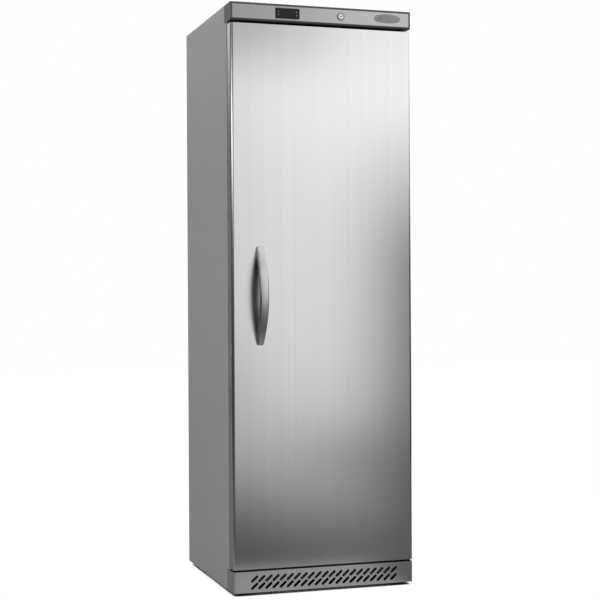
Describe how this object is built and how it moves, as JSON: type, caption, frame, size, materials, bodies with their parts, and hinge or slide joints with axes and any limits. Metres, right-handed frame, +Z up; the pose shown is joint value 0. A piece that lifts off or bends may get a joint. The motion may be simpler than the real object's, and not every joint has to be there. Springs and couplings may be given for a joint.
{
  "type": "upright refrigerator",
  "caption": "Tall commercial upright refrigerator with a hinged solid stainless door, bow handle, header with controller and lock, wire shelves and a slotted kick plate.",
  "frame": {"origin": "on the floor, under the middle of the outline with its handle", "axes": "+Z up, +X to the right seen from the front, the door faces -Y"},
  "size_m": [0.6, 0.66, 1.85],
  "materials": {
    "brushed_steel": "satin",
    "cabinet_grey": "satin",
    "zinc_steel": "satin",
    "foam": "matte",
    "white_plastic": "satin",
    "evaporator_metal": "satin",
    "black_plastic": "satin",
    "window": "gloss",
    "header_grey": "satin",
    "kick_grey": "satin",
    "polished": "satin",
    "foot_rubber": "matte",
    "roller_plastic": "matte",
    "black_metal": "satin",
    "copper": "satin",
    "coated_wire": "gloss",
    "seal": "matte"
  },
  "bodies": {
    "cabinet": {"side_panel_left": "cabinet_grey", "side_panel_right": "cabinet_grey", "top_panel": "cabinet_grey", "rear_panel": "zinc_steel", "front_rails": "cabinet_grey", "floor_pan": "zinc_steel", "base_frame": "zinc_steel", "base_pan": "zinc_steel", "insulation_foam": "foam", "inner_liner": "white_plastic", "evaporator_plate": "evaporator_metal", "wiring_conduit": "black_plastic", "header_housing": "header_grey", "fascia_plate": "brushed_steel", "badge_plate": "polished", "controller_case": "black_plastic", "controller_window": "window", "lock_barrel": "polished", "lock_nut": "zinc_steel", "kick_plate": "kick_grey", "hinge_bracket_lower": "zinc_steel", "hinge_bracket_upper": "zinc_steel", "cabinet_screws": "zinc_steel", "compressor": "black_metal", "compressor_mounts": "foot_rubber", "terminal_box": "black_plastic", "evaporation_tray": "white_plastic", "filter_dryer": "copper", "refrigerant_lines": "copper", "condenser": "black_metal", "mains_inlet": "black_plastic", "fan_cover": "white_plastic", "fan_motor": "black_plastic", "temp_probe": "zinc_steel", "drain_spout": "white_plastic"},
    "door": {"door_skin": "brushed_steel", "door_foam": "foam", "door_liner": "white_plastic", "door_gasket": "seal", "door_caps": "header_grey", "hinge_bushes": "white_plastic", "lock_keeper": "zinc_steel", "handle": "polished", "handle_screws": "zinc_steel"},
    "lock_plug": {"lock_rotor": "polished", "lock_cam": "zinc_steel"},
    "fan": {"fan_blade": "white_plastic"},
    "key_upper_left": {"key_upper_left": "black_plastic"},
    "key_lower_left": {"key_lower_left": "black_plastic"},
    "key_upper_right": {"key_upper_right": "black_plastic"},
    "key_lower_right": {"key_lower_right": "black_plastic"},
    "foot_left": {"foot_left": "foot_rubber"},
    "foot_right": {"foot_right": "foot_rubber"},
    "roller_left": {"roller_left": "roller_plastic"},
    "roller_right": {"roller_right": "roller_plastic"},
    "shelf_1": {"shelf_1": "coated_wire"},
    "shelf_2": {"shelf_2": "coated_wire"},
    "shelf_3": {"shelf_3": "coated_wire"},
    "shelf_4": {"shelf_4": "coated_wire"},
    "shelf_5": {"shelf_5": "coated_wire"}
  },
  "joints": [
    {"name": "door_hinge", "type": "hinge", "parent": "cabinet", "child": "door", "pos_m": [0.286, -0.25, 0.9335], "axis": [0, 0, 1], "range_deg": [0, 120]},
    {"name": "lock_turn", "type": "hinge", "parent": "cabinet", "child": "lock_plug", "pos_m": [0.063, -0.27, 1.822], "axis": [0, 1, 0], "range_deg": [0, 90]},
    {"name": "fan_spin", "type": "hinge", "parent": "cabinet", "child": "fan", "pos_m": [0, 0.202, 1.6435], "axis": [0, 1, 0], "continuous": true},
    {"name": "key_upper_left_press", "type": "slide", "parent": "cabinet", "child": "key_upper_left", "axis": [0, 1, 0], "range_m": [0, 0.0005], "stiffness_N_per_m": 1000, "springref_m": -0.001},
    {"name": "key_lower_left_press", "type": "slide", "parent": "cabinet", "child": "key_lower_left", "axis": [0, 1, 0], "range_m": [0, 0.0005], "stiffness_N_per_m": 1000, "springref_m": -0.001},
    {"name": "key_upper_right_press", "type": "slide", "parent": "cabinet", "child": "key_upper_right", "axis": [0, 1, 0], "range_m": [0, 0.0005], "stiffness_N_per_m": 1000, "springref_m": -0.001},
    {"name": "key_lower_right_press", "type": "slide", "parent": "cabinet", "child": "key_lower_right", "axis": [0, 1, 0], "range_m": [0, 0.0005], "stiffness_N_per_m": 1000, "springref_m": -0.001},
    {"name": "foot_left_level", "type": "slide", "parent": "cabinet", "child": "foot_left", "axis": [0, 0, -1], "range_m": [0, 0.012]},
    {"name": "foot_right_level", "type": "slide", "parent": "cabinet", "child": "foot_right", "axis": [0, 0, -1], "range_m": [0, 0.012]},
    {"name": "roller_left_spin", "type": "hinge", "parent": "cabinet", "child": "roller_left", "pos_m": [-0.27, 0.288, 0.015], "axis": [1, 0, 0], "continuous": true},
    {"name": "roller_right_spin", "type": "hinge", "parent": "cabinet", "child": "roller_right", "pos_m": [0.27, 0.288, 0.015], "axis": [1, 0, 0], "continuous": true},
    {"name": "shelf_1_slide", "type": "slide", "parent": "cabinet", "child": "shelf_1", "axis": [0, -1, 0], "range_m": [0, 0.03]},
    {"name": "shelf_2_slide", "type": "slide", "parent": "cabinet", "child": "shelf_2", "axis": [0, -1, 0], "range_m": [0, 0.03]},
    {"name": "shelf_3_slide", "type": "slide", "parent": "cabinet", "child": "shelf_3", "axis": [0, -1, 0], "range_m": [0, 0.03]},
    {"name": "shelf_4_slide", "type": "slide", "parent": "cabinet", "child": "shelf_4", "axis": [0, -1, 0], "range_m": [0, 0.03]},
    {"name": "shelf_5_slide", "type": "slide", "parent": "cabinet", "child": "shelf_5", "axis": [0, -1, 0], "range_m": [0, 0.03]}
  ]
}
